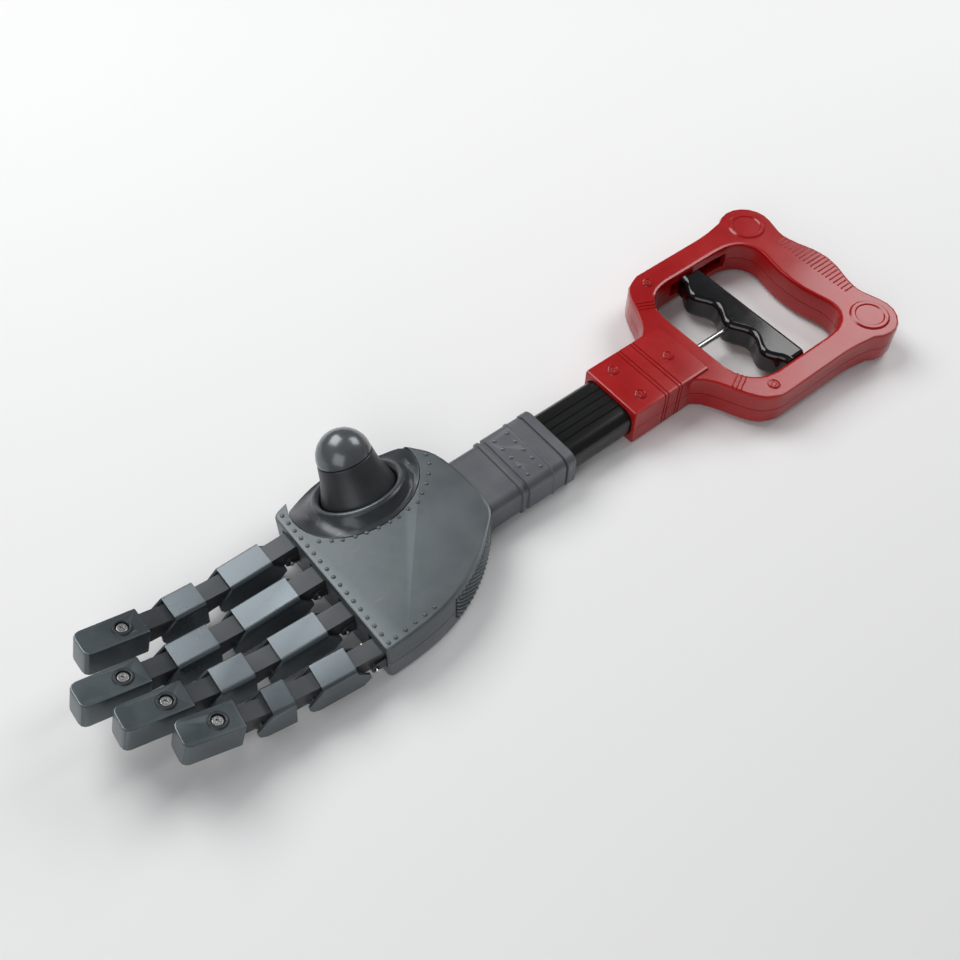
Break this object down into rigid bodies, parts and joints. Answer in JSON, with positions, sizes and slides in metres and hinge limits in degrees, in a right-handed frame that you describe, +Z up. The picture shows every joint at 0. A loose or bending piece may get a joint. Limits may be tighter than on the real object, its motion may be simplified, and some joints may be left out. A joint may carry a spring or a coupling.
{
  "type": "robot hand grabber",
  "caption": "Toy robot hand on an arm: four jointed fingers curl toward a fixed thumb when the trigger bar in the D handle is pulled.",
  "frame": {"origin": "centre of the bounding box's footprint on the table", "axes": "+Z up, -X toward the fingertips, +X toward the handle, +Y toward the thumb"},
  "size_m": [0.4312, 0.115, 0.0488],
  "materials": {
    "hand_grey": "satin, faint swirl, light scuffs",
    "finger_grey": "satin with bright edges",
    "dark_plastic": "matte",
    "handle_red": "gloss",
    "trigger_black": "high gloss",
    "tube_black": "gloss with fine lengthwise reeding",
    "pin_chrome": "bright",
    "screw_steel": "satin zinc",
    "rod_steel": "drawn steel",
    "pull_cord": "braided nylon"
  },
  "bodies": {
    "grabber": {"palm_top_cover": "hand_grey", "palm_bottom_cover": "hand_grey", "palm_screw_1": "screw_steel", "palm_screw_2": "screw_steel", "palm_screw_3": "screw_steel", "knuckle_bar": "dark_plastic", "thumb_collar": "hand_grey", "thumb_cone": "dark_plastic", "thumb_dome": "hand_grey", "wrist_sleeve": "hand_grey", "arm_tube": "tube_black", "handle_top_shell": "handle_red", "handle_bottom_shell": "handle_red", "handle_screw_1": "screw_steel", "handle_screw_2": "screw_steel", "handle_screw_3": "screw_steel", "handle_screw_4": "screw_steel", "handle_screw_5": "screw_steel", "return_spring": "rod_steel", "index_pin_proximal": "pin_chrome", "middle_pin_proximal": "pin_chrome", "ring_pin_proximal": "pin_chrome", "little_pin_proximal": "pin_chrome", "cord_index": "pull_cord", "cord_middle": "pull_cord", "cord_ring": "pull_cord", "cord_little": "pull_cord"},
    "trigger": {"trigger_bar": "trigger_black", "pull_rod": "rod_steel", "cord_yoke": "dark_plastic"},
    "index_base": {"index_proximal": "finger_grey", "index_pin_middle": "pin_chrome"},
    "index_mid": {"index_middle": "finger_grey", "index_pin_tip": "pin_chrome"},
    "index_end": {"index_tip": "finger_grey", "index_tip_screw": "screw_steel"},
    "middle_base": {"middle_proximal": "finger_grey", "middle_pin_middle": "pin_chrome"},
    "middle_mid": {"middle_middle": "finger_grey", "middle_pin_tip": "pin_chrome"},
    "middle_end": {"middle_tip": "finger_grey", "middle_tip_screw": "screw_steel"},
    "ring_base": {"ring_proximal": "finger_grey", "ring_pin_middle": "pin_chrome"},
    "ring_mid": {"ring_middle": "finger_grey", "ring_pin_tip": "pin_chrome"},
    "ring_end": {"ring_tip": "finger_grey", "ring_tip_screw": "screw_steel"},
    "little_base": {"little_proximal": "finger_grey", "little_pin_middle": "pin_chrome"},
    "little_mid": {"little_middle": "finger_grey", "little_pin_tip": "pin_chrome"},
    "little_end": {"little_tip": "finger_grey", "little_tip_screw": "screw_steel"}
  },
  "joints": [
    {"name": "trigger_slide", "type": "slide", "parent": "grabber", "child": "trigger", "axis": [1, 0, 0], "range_m": [0, 0.02], "stiffness_N_per_m": 300, "springref_m": -0.01, "deforming": ["return_spring", "cord_index", "cord_middle", "cord_ring", "cord_little"]},
    {"name": "index_knuckle_joint", "type": "hinge", "parent": "grabber", "child": "index_base", "pos_m": [-0.10912, 0.0255, 0.013], "axis": [0, 1, 0], "range_deg": [0, 60]},
    {"name": "index_middle_joint", "type": "hinge", "parent": "index_base", "child": "index_mid", "pos_m": [-0.14212, 0.0255, 0.013], "axis": [0, 1, 0], "range_deg": [0, 53]},
    {"name": "index_end_joint", "type": "hinge", "parent": "index_mid", "child": "index_end", "pos_m": [-0.16872, 0.0255, 0.01627], "axis": [0, 1, 0], "range_deg": [0, 49]},
    {"name": "middle_knuckle_joint", "type": "hinge", "parent": "grabber", "child": "middle_base", "pos_m": [-0.10912, 0.004, 0.013], "axis": [0.0175, 0.9998, 0], "range_deg": [0, 60]},
    {"name": "middle_middle_joint", "type": "hinge", "parent": "middle_base", "child": "middle_mid", "pos_m": [-0.14782, 0.00468, 0.013], "axis": [0.0175, 0.9998, 0], "range_deg": [0, 53]},
    {"name": "middle_end_joint", "type": "hinge", "parent": "middle_mid", "child": "middle_end", "pos_m": [-0.17868, 0.00521, 0.01679], "axis": [0.0175, 0.9998, 0], "range_deg": [0, 49]},
    {"name": "ring_knuckle_joint", "type": "hinge", "parent": "grabber", "child": "ring_base", "pos_m": [-0.10912, -0.0175, 0.013], "axis": [0.0523, 0.9986, 0], "range_deg": [0, 60]},
    {"name": "ring_middle_joint", "type": "hinge", "parent": "ring_base", "child": "ring_mid", "pos_m": [-0.14338, -0.01571, 0.013], "axis": [0.0523, 0.9986, 0], "range_deg": [0, 53]},
    {"name": "ring_end_joint", "type": "hinge", "parent": "ring_mid", "child": "ring_end", "pos_m": [-0.17063, -0.01428, 0.01635], "axis": [0.0523, 0.9986, 0], "range_deg": [0, 49]},
    {"name": "little_knuckle_joint", "type": "hinge", "parent": "grabber", "child": "little_base", "pos_m": [-0.10912, -0.0392, 0.013], "axis": [0.1045, 0.9945, 0], "range_deg": [0, 60]},
    {"name": "little_middle_joint", "type": "hinge", "parent": "little_base", "child": "little_mid", "pos_m": [-0.13717, -0.03625, 0.013], "axis": [0.1045, 0.9945, 0], "range_deg": [0, 53]},
    {"name": "little_end_joint", "type": "hinge", "parent": "little_mid", "child": "little_end", "pos_m": [-0.15928, -0.03393, 0.01573], "axis": [0.1045, 0.9945, 0], "range_deg": [0, 49]}
  ],
  "couplings": [
    {"joint": "index_knuckle_joint", "follows": "trigger_slide", "rad_per_m": 50.6},
    {"joint": "index_middle_joint", "follows": "trigger_slide", "rad_per_m": 45.4},
    {"joint": "index_end_joint", "follows": "trigger_slide", "rad_per_m": 41.9},
    {"joint": "middle_knuckle_joint", "follows": "trigger_slide", "rad_per_m": 50.6},
    {"joint": "middle_middle_joint", "follows": "trigger_slide", "rad_per_m": 45.4},
    {"joint": "middle_end_joint", "follows": "trigger_slide", "rad_per_m": 41.9},
    {"joint": "ring_knuckle_joint", "follows": "trigger_slide", "rad_per_m": 50.6},
    {"joint": "ring_middle_joint", "follows": "trigger_slide", "rad_per_m": 45.4},
    {"joint": "ring_end_joint", "follows": "trigger_slide", "rad_per_m": 41.9},
    {"joint": "little_knuckle_joint", "follows": "trigger_slide", "rad_per_m": 50.6},
    {"joint": "little_middle_joint", "follows": "trigger_slide", "rad_per_m": 45.4},
    {"joint": "little_end_joint", "follows": "trigger_slide", "rad_per_m": 41.9}
  ]
}
